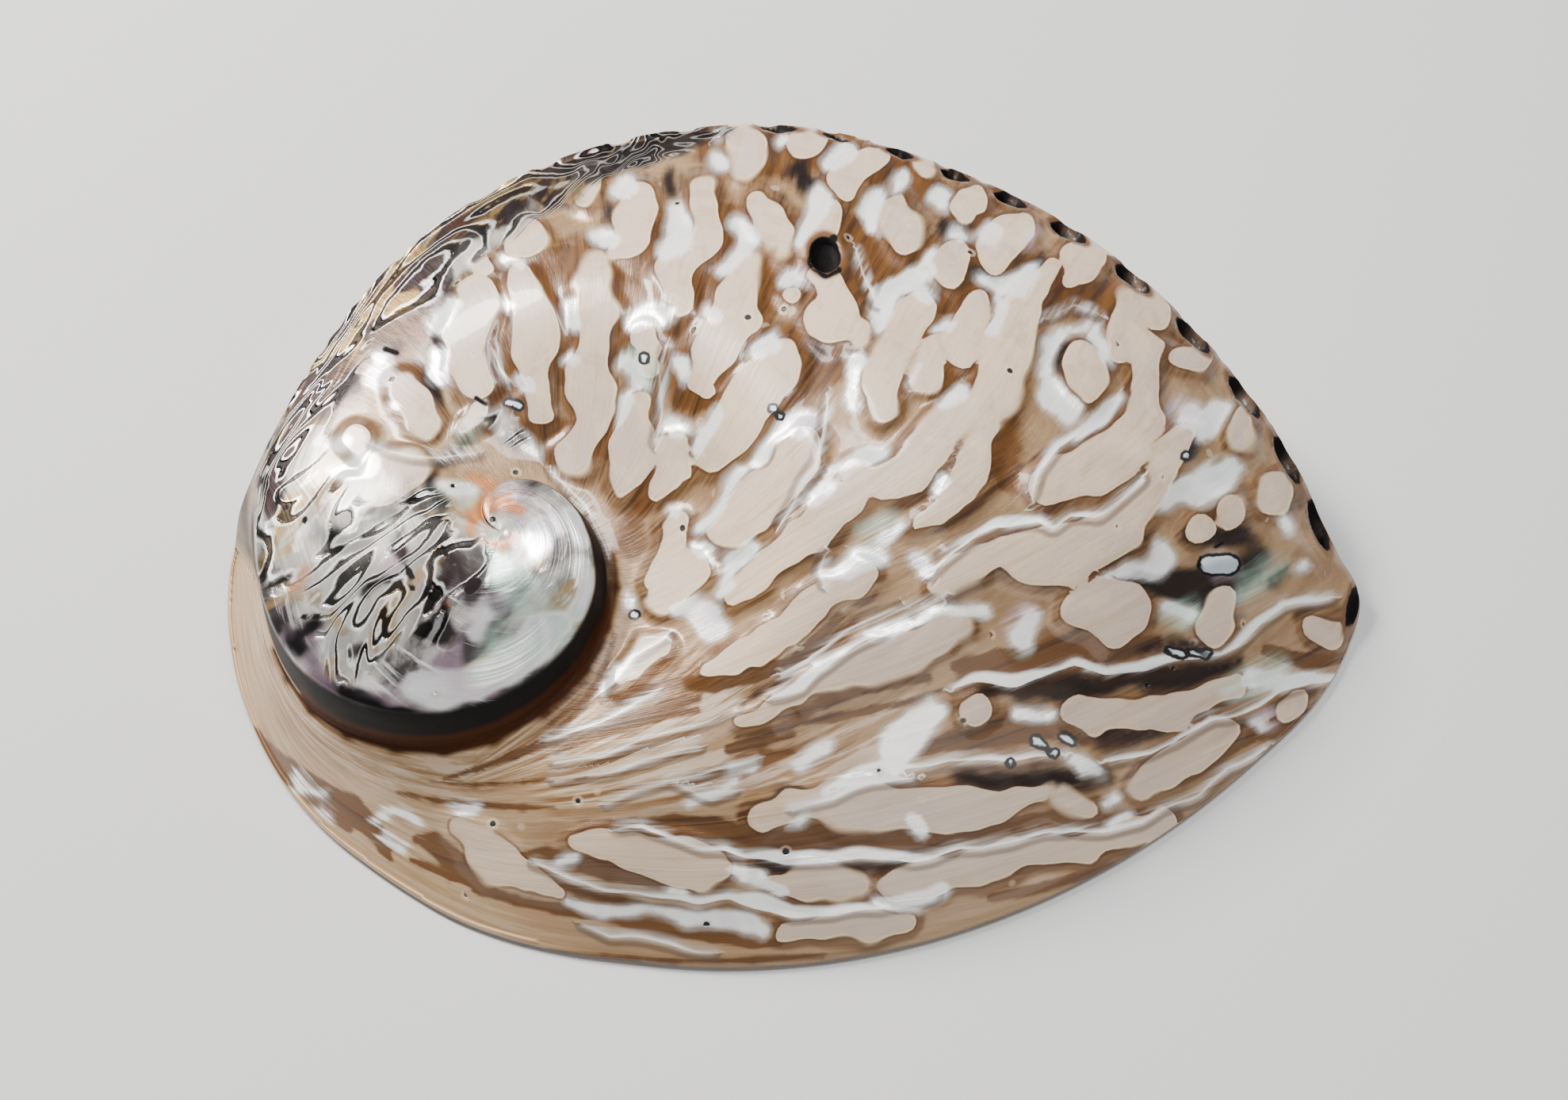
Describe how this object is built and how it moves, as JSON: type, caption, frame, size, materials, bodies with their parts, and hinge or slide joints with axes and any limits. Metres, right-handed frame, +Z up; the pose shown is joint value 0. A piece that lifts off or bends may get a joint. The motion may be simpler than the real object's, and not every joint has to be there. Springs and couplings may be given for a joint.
{
  "type": "polished abalone shell",
  "caption": "Ear-shaped sea shell ground and polished to its nacre: a low domed bowl, mouth down, with a flat spire at one end and a row of breathing holes along the keel.",
  "frame": {"origin": "centre of the shell's box, on the surface that its rim rests on", "axes": "+X along the length from the spire to the tip of the lip, +Y towards the row of holes, +Z up"},
  "size_m": [0.166, 0.1284, 0.0426],
  "materials": {
    "nacre": "polished nacre: cream patches on golden brown, with pearly silver, green and blue gleam at the spire"
  },
  "bodies": {
    "root": {"shell": "nacre"}
  },
  "joints": []
}
